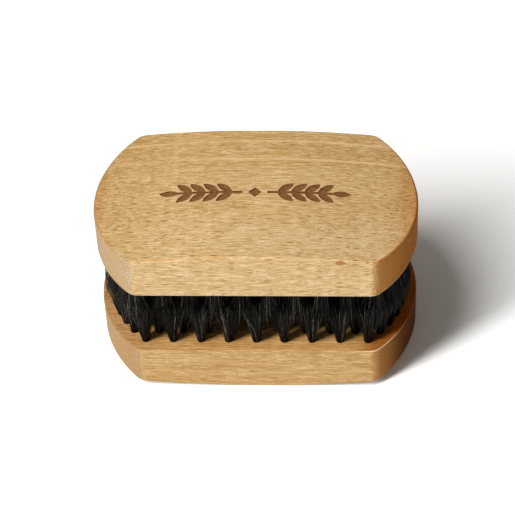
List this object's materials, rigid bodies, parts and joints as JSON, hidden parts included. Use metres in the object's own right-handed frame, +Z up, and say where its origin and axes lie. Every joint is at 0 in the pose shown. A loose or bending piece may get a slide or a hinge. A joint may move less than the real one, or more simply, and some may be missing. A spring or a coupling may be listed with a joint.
{
  "type": "beard brush pair",
  "caption": "Handle-free wooden palm brushes with black bristle tufts, stored face to face, for brushing and smoothing a beard.",
  "frame": {"origin": "centre of the plan outline, at the lowest point of the lower brush's back", "axes": "+X along the brushes, -Y their front long side, +Z up, from the lower brush's back towards the upper brush"},
  "size_m": [0.115, 0.0646, 0.0671],
  "materials": {
    "beech": "satin",
    "bristle": "satin",
    "anchor": "satin"
  },
  "bodies": {
    "lower_brush": {"lower_block": "beech", "lower_tufts_row_01": "bristle", "lower_tufts_row_02": "bristle", "lower_tufts_row_03": "bristle", "lower_tufts_row_04": "bristle", "lower_tufts_row_05": "bristle", "lower_tufts_row_06": "bristle", "lower_tufts_row_07": "bristle", "lower_tufts_row_08": "bristle", "lower_tufts_row_09": "bristle", "lower_tufts_row_10": "bristle", "lower_tufts_row_11": "bristle", "lower_tufts_row_12": "bristle", "lower_tufts_row_13": "bristle", "lower_anchors_row_01": "anchor", "lower_anchors_row_02": "anchor", "lower_anchors_row_03": "anchor", "lower_anchors_row_04": "anchor", "lower_anchors_row_05": "anchor", "lower_anchors_row_06": "anchor", "lower_anchors_row_07": "anchor", "lower_anchors_row_08": "anchor", "lower_anchors_row_09": "anchor", "lower_anchors_row_10": "anchor", "lower_anchors_row_11": "anchor", "lower_anchors_row_12": "anchor", "lower_anchors_row_13": "anchor"},
    "upper_brush": {"upper_block": "beech", "upper_tufts_row_01": "bristle", "upper_tufts_row_02": "bristle", "upper_tufts_row_03": "bristle", "upper_tufts_row_04": "bristle", "upper_tufts_row_05": "bristle", "upper_tufts_row_06": "bristle", "upper_tufts_row_07": "bristle", "upper_tufts_row_08": "bristle", "upper_tufts_row_09": "bristle", "upper_tufts_row_10": "bristle", "upper_tufts_row_11": "bristle", "upper_tufts_row_12": "bristle", "upper_tufts_row_13": "bristle", "upper_anchors_row_01": "anchor", "upper_anchors_row_02": "anchor", "upper_anchors_row_03": "anchor", "upper_anchors_row_04": "anchor", "upper_anchors_row_05": "anchor", "upper_anchors_row_06": "anchor", "upper_anchors_row_07": "anchor", "upper_anchors_row_08": "anchor", "upper_anchors_row_09": "anchor", "upper_anchors_row_10": "anchor", "upper_anchors_row_11": "anchor", "upper_anchors_row_12": "anchor", "upper_anchors_row_13": "anchor"}
  },
  "joints": [
    {"name": "upper_lift", "type": "slide", "parent": "lower_brush", "child": "upper_brush", "axis": [0, 0, 1], "range_m": [0, 0.05]}
  ]
}
